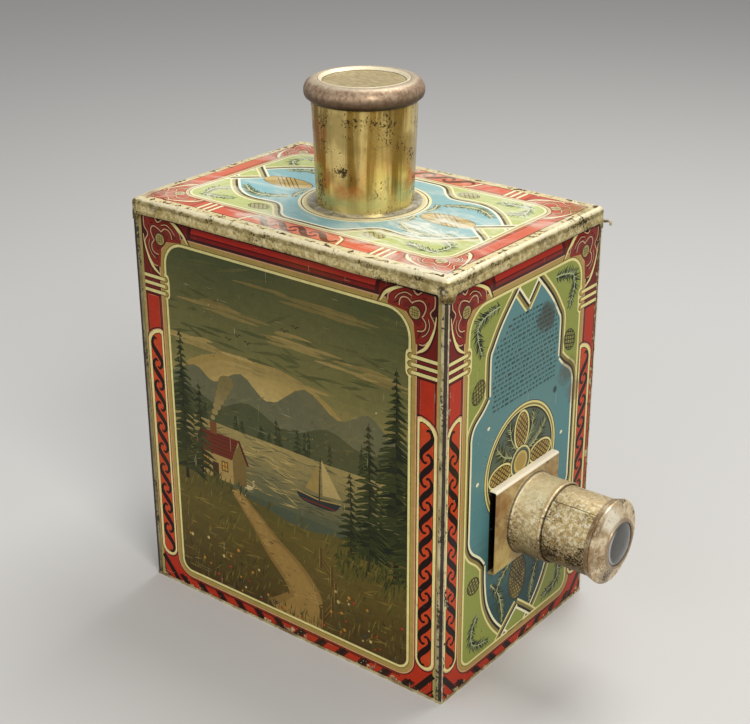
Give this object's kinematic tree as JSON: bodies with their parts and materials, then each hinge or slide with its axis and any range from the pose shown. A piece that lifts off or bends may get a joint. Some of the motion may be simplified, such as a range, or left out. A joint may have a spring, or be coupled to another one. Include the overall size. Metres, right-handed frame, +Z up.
{
  "type": "magic lantern",
  "caption": "Tinplate toy magic lantern: lamp house with hinged lid and chimney, slide stage, drawing objective, condenser and a small wick lamp with reflector.",
  "frame": {"origin": "centre of the bottom face that the lantern rests on", "axes": "+X out of the lens, +Y to the hinged side, -Y to the picture side, +Z up"},
  "size_m": [0.2179, 0.1159, 0.2432],
  "materials": {
    "litho_tin": "lithographed tinplate, worn gloss",
    "worn_tin": "bare tinplate, spotted with rust",
    "inner_tin": "dull bare tinplate",
    "hinge_steel": "darkened wire",
    "gilt_tin": "gold lacquered tin, pitted",
    "bronzed_tin": "brown tarnished metal",
    "tan_tin": "dull brushed metal",
    "burner_brass": "dull brass",
    "lens_glass": "clear, slightly grey",
    "lamp_glass": "clear thin glass",
    "mirror_tin": "polished tin reflector",
    "cotton": "woven cotton, charred tip"
  },
  "bodies": {
    "case": {"base_pan": "worn_tin", "front_panel": "litho_tin", "rear_panel": "litho_tin", "picture_panel": "litho_tin", "hinge_panel": "litho_tin", "corner_seams": "worn_tin", "hinge_wire": "hinge_steel", "slide_stage": "worn_tin", "objective_socket": "worn_tin", "condenser_cell": "inner_tin", "condenser_lens": "lens_glass", "condenser_ring": "inner_tin", "lamp_guides": "inner_tin"},
    "lid": {"lid_shell": "litho_tin", "chimney_collar": "gilt_tin"},
    "chimney": {"chimney_tube": "gilt_tin", "cap_ring": "bronzed_tin", "cap_disc": "tan_tin", "cap_legs": "inner_tin"},
    "objective": {"draw_tube": "worn_tin", "objective_bezel": "worn_tin", "front_lens": "lens_glass", "rear_lens": "lens_glass", "rear_lens_ring": "inner_tin"},
    "lamp": {"lamp_tray": "inner_tin", "lamp_font": "inner_tin", "screw_collar": "burner_brass", "burner_body": "burner_brass", "burner_gallery": "burner_brass", "flame_deflector": "burner_brass", "wick_tube": "burner_brass", "reflector": "mirror_tin", "reflector_arm": "inner_tin"},
    "wick_strip": {"wick": "cotton"},
    "wick_control": {"wick_spindle": "burner_brass", "wick_knob": "burner_brass"},
    "glass": {"glass_chimney": "lamp_glass"}
  },
  "joints": [
    {"name": "lid_hinge", "type": "hinge", "parent": "case", "child": "lid", "pos_m": [0, 0.0578, 0.1827], "axis": [-1, 0, 0], "range_deg": [0, 110]},
    {"name": "chimney_lift", "type": "slide", "parent": "lid", "child": "chimney", "axis": [0, 0, 1], "range_m": [0, 0.03]},
    {"name": "focus", "type": "slide", "parent": "case", "child": "objective", "axis": [1, 0, 0], "range_m": [-0.0045, 0.006]},
    {"name": "lamp_slide", "type": "slide", "parent": "case", "child": "lamp", "axis": [1, 0, 0], "range_m": [-0.01, 0.01]},
    {"name": "wick_knob_turn", "type": "hinge", "parent": "lamp", "child": "wick_control", "pos_m": [-0.0029, 0.0025, 0.0369], "axis": [0, -1, 0], "range_deg": [-85, 85]},
    {"name": "wick_rise", "type": "slide", "parent": "lamp", "child": "wick_strip", "axis": [0, 0, 1], "range_m": [-0.003, 0.003]},
    {"name": "glass_lift", "type": "slide", "parent": "lamp", "child": "glass", "axis": [0, 0, 1], "range_m": [0, 0.015]}
  ],
  "couplings": [
    {"joint": "wick_rise", "follows": "wick_knob_turn", "m_per_rad": 0.002}
  ]
}
